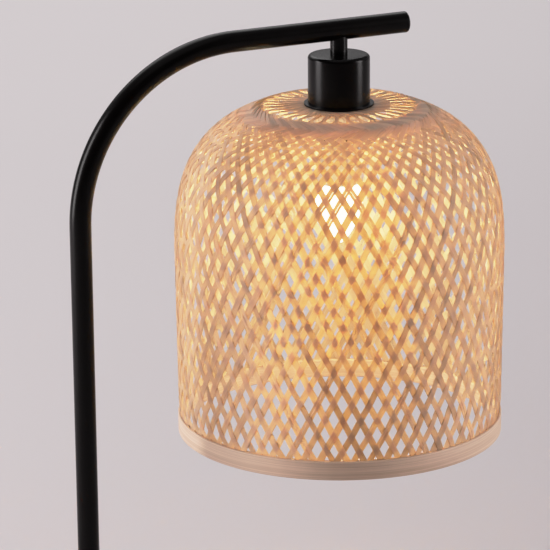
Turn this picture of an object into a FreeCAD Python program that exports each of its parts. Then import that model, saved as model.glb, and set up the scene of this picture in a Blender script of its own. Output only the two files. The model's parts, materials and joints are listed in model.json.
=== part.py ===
"""An arched table lamp: a weighted disc base, one bent tube, and a woven bamboo dome shade.

Millimetres. The origin is the centre of the base's underside, +Z is up, and +X is the way the
arm runs. Pieces at the lamp head are drawn about the shade's axis, with z = 0 on the arm's
centreline, and are then placed there.
"""
import FreeCAD, Part

import math
import os
import re

import Sketcher

SIZES = {
    # base
    "base_radius": 95.0,
    "base_height": 24.0,
    "base_corner": 3.0,
    "sheet_wall": 1.5,
    "pad_radius": 91.0,
    "pad_thickness": 2.0,
    "plate_radius": 93.2,
    "weight_radius": 90.0,
    "weight_thickness": 10.0,
    "channel_width": 20.0,
    "channel_end": 44.0,
    "base_screw_circle": 70.0,
    "base_screw_radius": 2.0,
    "base_screw_head_radius": 3.8,
    "base_screw_head_height": 1.6,
    "base_screw_reach": 16.0,
    "base_screw_clearance": 0.3,
    "head_hole_radius": 5.0,
    "boss_radius": 4.0,
    # threaded fittings
    "nipple_radius": 5.0,
    "nipple_bore": 3.3,
    "nipple_clearance": 0.2,
    "fixing_nut_flats": 14.0,
    "fixing_nut_height": 3.5,
    "washer_radius": 8.0,
    "washer_thickness": 1.0,
    "foot_bush_length": 12.0,
    "fixing_nipple_length": 17.0,
    "fixing_nipple_tail": 0.5,
    # cord inlet
    "gland_height": 10.5,
    "gland_bore": 3.25,
    "gland_radius": 5.0,
    "gland_flange_radius": 6.25,
    "gland_flange_length": 2.5,
    "gland_body_length": 7.5,
    "gland_nut_flats": 13.0,
    "gland_nut_start": 2.25,
    "gland_nut_length": 3.0,
    # stand
    "tube_radius": 8.0,
    "tube_wall": 1.0,
    "wire_hole_depth": 12.0,
    "bend_radius": 125.0,
    "arm_height": 492.0,
    "pole_offset": 55.0,
    "arm_reach": 268.0,
    "shade_reach": 211.6,
    "end_cap_thickness": 1.0,
    "end_cap_plug_length": 6.0,
    "end_cap_plug_wall": 1.2,
    "neck_radius": 6.5,
    "neck_bore": 5.0,
    # cup, levels below the arm's centreline
    "cup_radius": 23.2,
    "cup_wall": 1.2,
    "cup_corner": 2.8,
    "cup_top": 18.6,
    "cup_bottom": 55.0,
    "cup_nipple_top": 11.0,
    "cup_nipple_bottom": 32.0,
    # lampholder, levels below the arm's centreline
    "holder_top": 24.0,
    "holder_boss_radius": 8.0,
    "holder_boss_bottom": 28.0,
    "holder_shoulder": 34.0,
    "holder_split": 47.0,
    "holder_bottom": 81.0,
    "holder_cap_radius": 20.5,
    "holder_cap_wall": 1.8,
    "skirt_radius": 19.75,
    "skirt_bore": 17.8,
    "skirt_lip_bore": 15.2,
    "skirt_lip": 1.5,
    "core_radius": 17.5,
    "core_top": 43.0,
    "core_bottom": 50.0,
    "core_wire_hole": 1.6,
    "shell_radius": 14.0,
    "shell_wall": 0.5,
    "shell_end": 52.5,
    "shell_opening": 7.0,
    "shell_bottom": 78.0,
    "contact_radius": 3.2,
    "contact_level": 53.6,
    "contact_stem_radius": 1.2,
    "terminal_offset": 10.5,
    "terminal_screw_radius": 1.5,
    "terminal_head_radius": 2.6,
    "terminal_head_height": 1.6,
    "terminal_screw_length": 4.0,
    # wiring
    "cord_radius": 2.75,
    "cord_start": 84.0,
    "cord_foot_bend": 7.0,
    "cord_neck_bend": 12.0,
    "cord_end": 33.0,
    "wire_radius": 1.1,
    "wire_spacing": 1.3,
    "wire_bend": 2.4,
    "wire_level": 36.5,
    "wire_offset": 6.5,
    "wire_end": 47.0,
    # shade, levels below the arm's centreline
    "fitter_bore": 20.05,
    "flange_radius": 26.2,
    "flange_top": 55.1,
    "flange_thickness": 1.5,
    "fitter_ring_radius": 28.0,
    "fitter_ring_thickness": 2.0,
    "fitter_gap": 0.1,
    "weave_thickness": 1.4,
    "weave_hole_radius": 21.0,
    "dome_radius": 124.7,
    "dome_crown": 52.5,
    "dome_drop": 118.0,
    "dome_power": 2.81,
    "weave_tuck_radius": 123.4,
    "weave_tuck_height": 10.0,
    "weave_rim_radius": 122.2,
    "hoop_radius": 123.8,
    "hoop_gap": 0.1,
    "hoop_height": 14.4,
    "hoop_bottom": 310.2,
    "inner_hoop_thickness": 1.5,
    "ring_flange_radius": 27.0,
    "ring_flange_thickness": 2.0,
    "ring_sleeve_radius": 22.6,
    "ring_height": 8.0,
    "ring_gap": 0.3,
    # bulb, levels below the arm's centreline
    "bulb_top": 54.0,
    "bulb_contact_radius": 4.2,
    "bulb_contact_thickness": 1.5,
    "insulator_radius": 8.0,
    "insulator_thickness": 3.0,
    "base_shell_radius": 13.0,
    "base_shell_wall": 0.5,
    "base_shell_shoulder": 61.0,
    "base_shell_bottom": 80.0,
    "housing_neck_radius": 14.0,
    "housing_neck_level": 84.0,
    "housing_wall": 1.8,
    "housing_flare": 400.0,
    "housing_inset_top": 64.0,
    "bulb_belly_radius": 18.5,
    "bulb_belly_level": 122.0,
    "bulb_tip_radius": 6.0,
    "bulb_bottom": 164.0,
    "diffuser_wall": 1.4,
    "diffuser_rim_level": 116.0,
    "board_radius": 16.0,
    "board_thickness": 1.6,
    "driver_width": 14.0,
    "driver_depth": 8.0,
    "driver_top": 68.0,
    "driver_bottom": 108.0,
}

DOC = FreeCAD.newDocument("arched_lamp")
SHEET = DOC.addObject("Spreadsheet::Sheet", "Sizes")
PIECES = []

BASE = ("0", "0", "0")
POLE = ("-pole_offset", "0", "0")
GLAND = ("-base_radius", "0", "gland_height")
HEAD = ("shade_reach - pole_offset", "0", "arm_height")
ARM_END = ("arm_reach - pole_offset", "0", "arm_height")


def fill_sheet():
    """Write each size to the sheet under its own alias."""
    for row, (alias, size) in enumerate(SIZES.items(), 1):
        SHEET.set(f"A{row}", alias)
        SHEET.set(f"B{row}", str(size))
        SHEET.setAlias(f"B{row}", alias)
    DOC.recompute()


def bound(text):
    """The expression that a property is bound to, with each alias looked up in the sheet."""
    return re.sub(r"\b(?!sqrt\b)[a-z][a-z_]+\b", lambda word: "Sizes." + word.group(0), text)


def size(text):
    """The number that an expression of aliases stands for now."""
    return float(SHEET.evalExpression(bound(text)))


def new_body(name, place):
    """An empty body, placed by three expressions and listed for export."""
    body = DOC.addObject("PartDesign::Body", name)
    body.Label = name
    for axis, text in zip("xyz", place):
        body.setExpression("Placement.Base." + axis, bound(text))
    PIECES.append(body)
    return body


def new_sketch(body, plane, level="0"):
    """A sketch on one of the body's own origin planes, moved along the plane's normal."""
    sketch = body.newObject("Sketcher::SketchObject", body.Name + "_sketch")
    support = next(f for f in body.Origin.OriginFeatures if f.Role == plane)
    sketch.AttachmentSupport = [(support, "")]
    sketch.MapMode = "FlatFace"
    sketch.setExpression("AttachmentOffset.Base.z", bound(level))
    return sketch


def bind_point(sketch, curve, end, across, up):
    """Hold one point of a curve at a distance across and up from the sketch's origin."""
    for kind, text, axis in (("DistanceX", across, -2), ("DistanceY", up, -1)):
        if text == "0":
            sketch.addConstraint(Sketcher.Constraint("PointOnObject", curve, end, axis))
            continue
        rule = Sketcher.Constraint(kind, -1, 1, curve, end, size(text))
        index = sketch.addConstraint(rule)
        sketch.setExpression(f"Constraints[{index}]", bound(text))


def bind_radius(sketch, curve, text):
    """Hold a circle's or an arc's radius."""
    index = sketch.addConstraint(Sketcher.Constraint("Radius", curve, size(text)))
    sketch.setExpression(f"Constraints[{index}]", bound(text))


def arc_between(start, end, radius):
    """The shorter arc from start to end, which bulges to the right of the way it runs."""
    chord = end - start
    middle = (start + end) * 0.5
    right = FreeCAD.Vector(chord.y, -chord.x, 0).normalize()
    half = chord.Length / 2
    rise = abs(radius) - math.sqrt(radius ** 2 - half ** 2)
    top = middle + right * math.copysign(rise, radius)
    return Part.Arc(start, top, end)


def draw_line(sketch, points, closed=True):
    """Join points by lines. A point's third value is the radius of an arc to the next point.

    The arc bulges to the right of the way that the points run, or to the left after a leading
    "left" as the fourth value.
    """
    corners = [FreeCAD.Vector(size(point[0]), size(point[1]), 0) for point in points]
    count = len(points) if closed else len(points) - 1
    ends = []
    for index in range(count):
        point = points[index]
        start = corners[index]
        end = corners[(index + 1) % len(points)]
        if len(point) == 2:
            curve = sketch.addGeometry(Part.LineSegment(start, end))
        else:
            sign = -1 if point[3:] == ("left",) else 1
            curve = sketch.addGeometry(arc_between(start, end, sign * size(point[2])))
        forward = (sketch.getPoint(curve, 1) - start).Length < (sketch.getPoint(curve, 2) - start).Length
        ends.append((curve, 1, 2) if forward else (curve, 2, 1))
    for index in range(count):
        curve, first, last = ends[index]
        bind_point(sketch, curve, first, points[index][0], points[index][1])
        if closed or index < count - 1:
            following, opening, _ = ends[(index + 1) % count]
            sketch.addConstraint(Sketcher.Constraint("Coincident", curve, last, following, opening))
        else:
            bind_point(sketch, curve, last, points[-1][0], points[-1][1])
    for index in range(count):
        if len(points[index]) > 2:
            bind_radius(sketch, ends[index][0], points[index][2])


def draw_circle(sketch, radius, across="0", up="0"):
    """A circle with a bound centre and radius."""
    centre = FreeCAD.Vector(size(across), size(up), 0)
    circle = Part.Circle(centre, FreeCAD.Vector(0, 0, 1), size(radius))
    curve = sketch.addGeometry(circle)
    bind_point(sketch, curve, 3, across, up)
    bind_radius(sketch, curve, radius)


def draw_hexagon(sketch, flats):
    """A hexagon with the given width across its flats, and flats at top and bottom."""
    corner = f"{flats} / sqrt(3)"
    half = f"{flats} / (2 * sqrt(3))"
    side = f"{flats} / 2"
    draw_line(sketch, [
        (corner, "0"), (half, side), ("-" + half, side),
        ("-" + corner, "0"), ("-" + half, "-" + side), (half, "-" + side),
    ])


def revolve(name, place, outline, axis="V_Axis"):
    """A body of revolution from an outline of (radius, level) points, or (x, radius) about H."""
    body = new_body(name, place)
    sketch = new_sketch(body, "XZ_Plane")
    draw_line(sketch, outline)
    turn = body.newObject("PartDesign::Revolution", name + "_turn")
    turn.Profile = sketch
    turn.ReferenceAxis = (sketch, [axis])
    turn.Angle = 360
    return body


def pad(body, sketch, length, reverse=False):
    """Raise a sketch along its normal, or against it."""
    feature = body.newObject("PartDesign::Pad", body.Name + "_pad")
    feature.Profile = sketch
    feature.setExpression("Length", bound(length))
    feature.Reversed = reverse
    return feature


def cut(body, sketch, length, reverse=False):
    """Cut a sketch into the body against its normal, or along it, and see that it removes metal."""
    DOC.recompute()
    before = body.Shape.Volume
    feature = body.newObject("PartDesign::Pocket", body.Name + "_cut")
    feature.Profile = sketch
    feature.setExpression("Length", bound(length))
    feature.Reversed = reverse
    DOC.recompute()
    if body.Shape.Volume > before - 0.01:
        raise RuntimeError(body.Label + ": a cut removed nothing")
    return feature


def sweep(name, place, route, draw_section, section_plane, section_level):
    """A body swept along an open route in the XZ plane, from a section at the route's start."""
    body = new_body(name, place)
    spine = new_sketch(body, "XZ_Plane")
    draw_line(spine, route, closed=False)
    section = new_sketch(body, section_plane, section_level)
    draw_section(section)
    DOC.recompute()
    pipe = body.newObject("PartDesign::AdditivePipe", name + "_pipe")
    pipe.Profile = section
    pipe.Spine = (spine, [f"Edge{i + 1}" for i in range(len(route) - 1)])
    pipe.Transition = "Right corner"
    DOC.recompute()
    path = sum(edge.Length for edge in spine.Shape.Edges)
    area = Part.makeFace(section.Shape.Wires, "Part::FaceMakerBullseye").Area
    if abs(body.Shape.Volume / (path * area) - 1) > 0.01:
        raise RuntimeError(f"{name}: volume {body.Shape.Volume:.1f} for a sweep of {path * area:.1f}")
    return body


def repeat_round(body, feature, count):
    """Copies of a feature, evenly round the body's own Z axis."""
    DOC.recompute()
    pattern = body.newObject("PartDesign::PolarPattern", body.Name + "_ring")
    pattern.Originals = [feature]
    axis = next(f for f in body.Origin.OriginFeatures if f.Role == "Z_Axis")
    pattern.Axis = (axis, [""])
    pattern.Angle = 360
    pattern.Occurrences = count
    body.Tip = pattern
    DOC.recompute()
    return pattern


def build_base():
    """The weighted base: pad, plate, weight, cover and the screws that clamp them."""
    plate_top = "pad_thickness + sheet_wall"
    weight_top = "pad_thickness + sheet_wall + weight_thickness"
    cover_inside = "base_height - sheet_wall"

    foot_pad = new_body("foot_pad", BASE)
    outline = new_sketch(foot_pad, "XY_Plane")
    draw_circle(outline, "pad_radius")
    pad(foot_pad, outline, "pad_thickness")
    hole = new_sketch(foot_pad, "XY_Plane")
    draw_circle(hole, "head_hole_radius", "base_screw_circle")
    repeat_round(foot_pad, cut(foot_pad, hole, "pad_thickness", reverse=True), 3)

    plate = new_body("base_plate", BASE)
    outline = new_sketch(plate, "XY_Plane", "pad_thickness")
    draw_circle(outline, "plate_radius")
    pad(plate, outline, "sheet_wall")
    hole = new_sketch(plate, "XY_Plane", "pad_thickness")
    draw_circle(hole, "base_screw_radius + base_screw_clearance", "base_screw_circle")
    repeat_round(plate, cut(plate, hole, "sheet_wall", reverse=True), 3)

    weight = new_body("base_weight", BASE)
    outline = new_sketch(weight, "XY_Plane", plate_top)
    draw_circle(outline, "weight_radius")
    pad(weight, outline, "weight_thickness")
    hole = new_sketch(weight, "XY_Plane", plate_top)
    draw_circle(hole, "base_screw_radius + base_screw_clearance", "base_screw_circle")
    repeat_round(weight, cut(weight, hole, "weight_thickness", reverse=True), 3)
    channel = new_sketch(weight, "XY_Plane", plate_top)
    draw_line(channel, [
        ("-base_radius", "-channel_width / 2"), ("-channel_end", "-channel_width / 2"),
        ("-channel_end", "channel_width / 2"), ("-base_radius", "channel_width / 2"),
    ])
    cut(weight, channel, "weight_thickness", reverse=True)

    cover = revolve("base_cover", BASE, [
        ("base_radius - sheet_wall", "pad_thickness"),
        ("base_radius", "pad_thickness"),
        ("base_radius", "base_height - base_corner", "base_corner"),
        ("base_radius - base_corner", "base_height"),
        ("0", "base_height"),
        ("0", cover_inside),
        ("base_radius - base_corner", cover_inside, "base_corner - sheet_wall", "left"),
        ("base_radius - sheet_wall", "base_height - base_corner"),
    ])
    boss = new_sketch(cover, "XY_Plane", cover_inside)
    draw_circle(boss, "boss_radius", "base_screw_circle")
    draw_circle(boss, "base_screw_radius", "base_screw_circle")
    boss_length = f"{cover_inside} - ({weight_top})"
    repeat_round(cover, pad(cover, boss, boss_length, reverse=True), 3)
    pole_hole = new_sketch(cover, "XY_Plane", "base_height")
    draw_circle(pole_hole, "nipple_radius + nipple_clearance", "-pole_offset")
    cut(cover, pole_hole, "sheet_wall")
    gland_hole = new_sketch(cover, "YZ_Plane", "-base_radius")
    draw_circle(gland_hole, "gland_radius + nipple_clearance", "0", "gland_height")
    cut(cover, gland_hole, "sheet_wall * 2", reverse=True)

    screws = new_body("base_screws", BASE)
    screws.AllowCompound = True
    head = new_sketch(screws, "XY_Plane", "pad_thickness - base_screw_head_height")
    draw_circle(head, "base_screw_head_radius", "base_screw_circle")
    head_pad = pad(screws, head, "base_screw_head_height")
    shank = new_sketch(screws, "XY_Plane", "pad_thickness")
    draw_circle(shank, "base_screw_radius", "base_screw_circle")
    shank_pad = pad(screws, shank, "base_screw_reach")
    ring = repeat_round(screws, head_pad, 3)
    ring.Originals = [head_pad, shank_pad]


def build_pole_fixing():
    """What clamps the tube to the cover: bush, hollow nipple, washer and nut."""
    cover_inside = "base_height - sheet_wall"
    nut_bottom = f"{cover_inside} - washer_thickness - fixing_nut_height"
    nipple_bottom = f"{nut_bottom} - fixing_nipple_tail"

    bush = new_body("pole_foot_bush", POLE)
    ring = new_sketch(bush, "XY_Plane", "base_height")
    draw_circle(ring, "tube_radius - tube_wall")
    draw_circle(ring, "nipple_radius")
    pad(bush, ring, "foot_bush_length")

    nipple = new_body("fixing_nipple", POLE)
    ring = new_sketch(nipple, "XY_Plane", nipple_bottom)
    draw_circle(ring, "nipple_radius")
    draw_circle(ring, "nipple_bore")
    pad(nipple, ring, "fixing_nipple_length")

    washer = new_body("lock_washer", POLE)
    ring = new_sketch(washer, "XY_Plane", f"{cover_inside} - washer_thickness")
    draw_circle(ring, "washer_radius")
    draw_circle(ring, "nipple_radius + nipple_clearance")
    pad(washer, ring, "washer_thickness")

    nut = new_body("fixing_nut", POLE)
    ring = new_sketch(nut, "XY_Plane", nut_bottom)
    draw_hexagon(ring, "fixing_nut_flats")
    draw_circle(ring, "nipple_radius")
    pad(nut, ring, "fixing_nut_height")


def build_gland():
    """The cord's inlet through the cover's rear wall, and the nut that holds it."""
    revolve("cord_gland", GLAND, [
        ("-gland_flange_length", "gland_bore"),
        ("gland_body_length", "gland_bore"),
        ("gland_body_length", "gland_radius"),
        ("0", "gland_radius"),
        ("0", "gland_flange_radius"),
        ("-gland_flange_length", "gland_flange_radius"),
    ], axis="H_Axis")

    nut = new_body("gland_nut", GLAND)
    ring = new_sketch(nut, "YZ_Plane", "gland_nut_start")
    draw_hexagon(ring, "gland_nut_flats")
    draw_circle(ring, "gland_radius")
    pad(nut, ring, "gland_nut_length")


def build_stand():
    """The bent tube, its end cap and the neck under the arm."""
    def tube_section(sketch):
        draw_circle(sketch, "tube_radius")
        draw_circle(sketch, "tube_radius - tube_wall")

    tube = sweep("stand_tube", POLE, [
        ("0", "base_height"),
        ("0", "arm_height - bend_radius", "bend_radius", "left"),
        ("bend_radius", "arm_height"),
        ("arm_reach - end_cap_thickness", "arm_height"),
    ], tube_section, "XY_Plane", "base_height")
    wire_hole = new_sketch(tube, "XY_Plane", "arm_height")
    draw_circle(wire_hole, "neck_bore", "shade_reach")
    cut(tube, wire_hole, "wire_hole_depth")

    revolve("arm_end_cap", ARM_END, [
        ("0", "0"),
        ("0", "tube_radius"),
        ("-end_cap_thickness", "tube_radius"),
        ("-end_cap_thickness", "tube_radius - tube_wall"),
        ("-end_cap_plug_length", "tube_radius - tube_wall"),
        ("-end_cap_plug_length", "tube_radius - tube_wall - end_cap_plug_wall"),
        ("-end_cap_thickness", "tube_radius - tube_wall - end_cap_plug_wall"),
        ("-end_cap_thickness", "0"),
    ], axis="H_Axis")

    neck = new_body("neck_tube", HEAD)
    ring = new_sketch(neck, "XY_Plane", "-cup_top")
    draw_circle(ring, "neck_radius")
    draw_circle(ring, "neck_bore")
    pad(neck, ring, "cup_top")
    cope = new_sketch(neck, "YZ_Plane", "-tube_radius")
    draw_circle(cope, "tube_radius")
    cut(neck, cope, "tube_radius * 2", reverse=True)


def build_cup():
    """The socket cup, and the nipple and nut that hang it from the neck."""
    revolve("socket_cup", HEAD, [
        ("nipple_radius + nipple_clearance", "-cup_top - cup_wall"),
        ("cup_radius - cup_corner", "-cup_top - cup_wall", "cup_corner - cup_wall", "left"),
        ("cup_radius - cup_wall", "-cup_top - cup_corner"),
        ("cup_radius - cup_wall", "-cup_bottom"),
        ("cup_radius", "-cup_bottom"),
        ("cup_radius", "-cup_top - cup_corner", "cup_corner"),
        ("cup_radius - cup_corner", "-cup_top"),
        ("nipple_radius + nipple_clearance", "-cup_top"),
    ])

    nipple = new_body("cup_nipple", HEAD)
    ring = new_sketch(nipple, "XY_Plane", "-cup_nipple_bottom")
    draw_circle(ring, "nipple_radius")
    draw_circle(ring, "nipple_bore")
    pad(nipple, ring, "cup_nipple_bottom - cup_nipple_top")

    nut = new_body("cup_nut", HEAD)
    ring = new_sketch(nut, "XY_Plane", "-cup_top - cup_wall")
    draw_hexagon(ring, "fixing_nut_flats")
    draw_circle(ring, "nipple_radius")
    pad(nut, ring, "fixing_nut_height", reverse=True)


def build_lampholder():
    """The lampholder: cap, skirt, core, screw shell, centre contact and terminal screws."""
    revolve("lampholder_cap", HEAD, [
        ("nipple_radius", "-holder_top"),
        ("nipple_radius", "-holder_boss_bottom - holder_cap_wall"),
        ("holder_boss_radius", "-holder_boss_bottom - holder_cap_wall"),
        ("holder_cap_radius - holder_cap_wall", "-holder_shoulder - holder_cap_wall"),
        ("holder_cap_radius - holder_cap_wall", "-holder_split"),
        ("holder_cap_radius", "-holder_split"),
        ("holder_cap_radius", "-holder_shoulder"),
        ("holder_boss_radius", "-holder_boss_bottom"),
        ("holder_boss_radius", "-holder_top"),
    ])

    revolve("lampholder_skirt", HEAD, [
        ("skirt_bore", "-holder_split"),
        ("skirt_bore", "-holder_bottom + skirt_lip"),
        ("skirt_lip_bore", "-holder_bottom + skirt_lip"),
        ("skirt_lip_bore", "-holder_bottom"),
        ("skirt_radius", "-holder_bottom"),
        ("skirt_radius", "-holder_split"),
    ])

    core = new_body("lampholder_core", HEAD)
    disc = new_sketch(core, "XY_Plane", "-core_bottom")
    draw_circle(disc, "core_radius")
    pad(core, disc, "core_bottom - core_top")
    stem = new_sketch(core, "XY_Plane", "-core_top")
    draw_circle(stem, "contact_stem_radius")
    cut(core, stem, "core_bottom - core_top")
    for side in ("", "-"):
        wire_hole = new_sketch(core, "XY_Plane", "-core_top")
        draw_circle(wire_hole, "core_wire_hole", side + "wire_offset")
        cut(core, wire_hole, "wire_end - core_top + contact_stem_radius")
        screw_hole = new_sketch(core, "XY_Plane", "-core_top")
        draw_circle(screw_hole, "terminal_screw_radius", side + "terminal_offset")
        cut(core, screw_hole, "terminal_screw_length")

    revolve("screw_shell", HEAD, [
        ("shell_opening", "-shell_end + shell_wall"),
        ("shell_opening", "-shell_end"),
        ("shell_radius - shell_wall", "-shell_end"),
        ("shell_radius - shell_wall", "-shell_bottom"),
        ("shell_radius", "-shell_bottom"),
        ("shell_radius", "-core_bottom"),
        ("shell_radius - shell_wall", "-core_bottom"),
        ("shell_radius - shell_wall", "-shell_end + shell_wall"),
    ])

    revolve("centre_contact", HEAD, [
        ("0", "-contact_level"),
        ("contact_radius", "-contact_level"),
        ("contact_radius", "-contact_level + shell_wall"),
        ("contact_stem_radius", "-contact_level + shell_wall"),
        ("contact_stem_radius", "-core_top"),
        ("0", "-core_top"),
    ])

    screws = new_body("terminal_screws", HEAD)
    screws.AllowCompound = True
    head = new_sketch(screws, "XY_Plane", "-core_top")
    draw_circle(head, "terminal_head_radius", "terminal_offset")
    head_pad = pad(screws, head, "terminal_head_height")
    shank = new_sketch(screws, "XY_Plane", "-core_top")
    draw_circle(shank, "terminal_screw_radius", "terminal_offset")
    shank_pad = pad(screws, shank, "terminal_screw_length", reverse=True)
    ring = repeat_round(screws, head_pad, 2)
    ring.Originals = [head_pad, shank_pad]


def build_wiring():
    """The cord that the base, tube and neck hold, and the two wires to the terminals."""
    def cord_section(sketch):
        draw_circle(sketch, "cord_radius", "0", "gland_height")

    sweep("inner_cord", BASE, [
        ("-cord_start", "gland_height"),
        ("-pole_offset - cord_foot_bend", "gland_height", "cord_foot_bend"),
        ("-pole_offset", "gland_height + cord_foot_bend"),
        ("-pole_offset", "arm_height - bend_radius", "bend_radius", "left"),
        ("bend_radius - pole_offset", "arm_height"),
        ("shade_reach - pole_offset - cord_neck_bend", "arm_height", "cord_neck_bend", "left"),
        ("shade_reach - pole_offset", "arm_height - cord_neck_bend"),
        ("shade_reach - pole_offset", "arm_height - cord_end"),
    ], cord_section, "YZ_Plane", "-cord_start")

    mirrored_turns = (("live_wire", "", ((), ("left",))), ("neutral_wire", "-", (("left",), ())))
    for name, side, turns in mirrored_turns:
        def wire_section(sketch):
            draw_circle(sketch, "wire_radius", side + "wire_spacing")

        sweep(name, HEAD, [
            (f"{side}wire_spacing", "-cord_end"),
            (f"{side}wire_spacing", "-wire_level + wire_bend", "wire_bend", *turns[0]),
            (f"{side}(wire_spacing + wire_bend)", "-wire_level"),
            (f"{side}(wire_offset - wire_bend)", "-wire_level", "wire_bend", *turns[1]),
            (f"{side}wire_offset", "-wire_level - wire_bend"),
            (f"{side}wire_offset", "-wire_end"),
        ], wire_section, "XY_Plane", "-cord_end")


def dome_point(turn, inset):
    """A point of the dome's outline, from 0 at the crown to 90 degrees at the widest level."""
    exponent = 2 / SIZES["dome_power"]
    across = math.sin(turn)
    along = math.cos(turn)
    radius = SIZES["dome_radius"] * across ** exponent
    level = -SIZES["dome_crown"] - SIZES["dome_drop"] * (1 - along ** exponent)
    outward = across ** (2 - exponent) / SIZES["dome_radius"]
    upward = along ** (2 - exponent) / SIZES["dome_drop"]
    length = math.hypot(outward, upward)
    return FreeCAD.Vector(radius - inset * outward / length, 0, level - inset * upward / length)


def dome_curve(inset, flat_level):
    """The curved stretch of the dome's outline, from the flat top to the widest level."""
    quarter = math.pi / 2
    low, high = 0.01, quarter
    while high - low > 1e-9:
        turn = (low + high) / 2
        low, high = (turn, high) if dome_point(turn, inset).z > flat_level else (low, turn)
    stations = 24
    turns = [low + (quarter - low) * step / stations for step in range(stations + 1)]
    curve = Part.BSplineCurve()
    curve.interpolate([dome_point(turn, inset) for turn in turns])
    return curve.toShape()


def build_weave():
    """The woven dome, as one closed shell of revolution with its top hole and open bottom."""
    thickness = SIZES["weave_thickness"]
    top = -(SIZES["flange_top"] + SIZES["flange_thickness"])
    hoop_top = SIZES["hoop_height"] - SIZES["hoop_bottom"]

    def side(inset):
        """The outline's edges from the top hole to the rim, inset from the outer face."""
        curve = dome_curve(inset, top - inset)
        ends = sorted((vertex.Point for vertex in curve.Vertexes), key=lambda point: point.x)
        corners = [
            FreeCAD.Vector(SIZES["weave_tuck_radius"] - inset, 0, hoop_top + SIZES["weave_tuck_height"]),
            FreeCAD.Vector(SIZES["weave_rim_radius"] - inset, 0, hoop_top),
            FreeCAD.Vector(SIZES["weave_rim_radius"] - inset, 0, -SIZES["hoop_bottom"]),
        ]
        start = FreeCAD.Vector(SIZES["weave_hole_radius"], 0, top - inset)
        edges = [Part.makeLine(start, ends[0]), curve]
        for first, last in zip([ends[1]] + corners, corners):
            edges.append(Part.makeLine(first, last))
        return edges, start, corners[-1]

    outer, outer_start, outer_end = side(0)
    inner, inner_start, inner_end = side(thickness)
    closing = [Part.makeLine(outer_start, inner_start), Part.makeLine(outer_end, inner_end)]
    outline = Part.Wire(Part.__sortEdges__(outer + inner + closing))
    shell = Part.Face(outline).revolve(FreeCAD.Vector(0, 0, 0), FreeCAD.Vector(0, 0, 1), 360)
    weave = DOC.addObject("Part::Feature", "shade_weave")
    weave.Label = "shade_weave"
    weave.Shape = shell
    weave.Placement = FreeCAD.Placement(FreeCAD.Vector(*map(size, HEAD)), FreeCAD.Rotation())
    PIECES.append(weave)


def build_shade_fittings():
    """The hoops at the shade's rim, the fitter that clamps its top, and the ring under that."""
    hoop_top = "-hoop_bottom + hoop_height"
    revolve("hoop_outer", HEAD, [
        ("weave_rim_radius + hoop_gap", "-hoop_bottom"),
        ("hoop_radius", "-hoop_bottom"),
        ("hoop_radius", hoop_top),
        ("weave_rim_radius + hoop_gap", hoop_top),
    ])
    inner_radius = "weave_rim_radius - weave_thickness - hoop_gap"
    revolve("hoop_inner", HEAD, [
        (f"{inner_radius} - inner_hoop_thickness", "-hoop_bottom"),
        (inner_radius, "-hoop_bottom"),
        (inner_radius, hoop_top),
        (f"{inner_radius} - inner_hoop_thickness", hoop_top),
    ])
    revolve("fitter_flange", HEAD, [
        ("fitter_bore", "-flange_top - flange_thickness"),
        ("flange_radius", "-flange_top - flange_thickness"),
        ("flange_radius", "-flange_top"),
        ("fitter_bore", "-flange_top"),
    ])
    ring_top = "-flange_top - flange_thickness - weave_thickness - fitter_gap"
    revolve("fitter_ring", HEAD, [
        ("fitter_bore", f"{ring_top} - fitter_ring_thickness"),
        ("fitter_ring_radius", f"{ring_top} - fitter_ring_thickness"),
        ("fitter_ring_radius", ring_top),
        ("fitter_bore", ring_top),
    ])
    nut_top = f"{ring_top} - fitter_ring_thickness - ring_gap"
    revolve("shade_retaining_ring", HEAD, [
        ("fitter_bore", f"{nut_top} - ring_height"),
        ("ring_sleeve_radius", f"{nut_top} - ring_height"),
        ("ring_sleeve_radius", f"{nut_top} - ring_flange_thickness"),
        ("ring_flange_radius", f"{nut_top} - ring_flange_thickness"),
        ("ring_flange_radius", nut_top),
        ("fitter_bore", nut_top),
    ])


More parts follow.
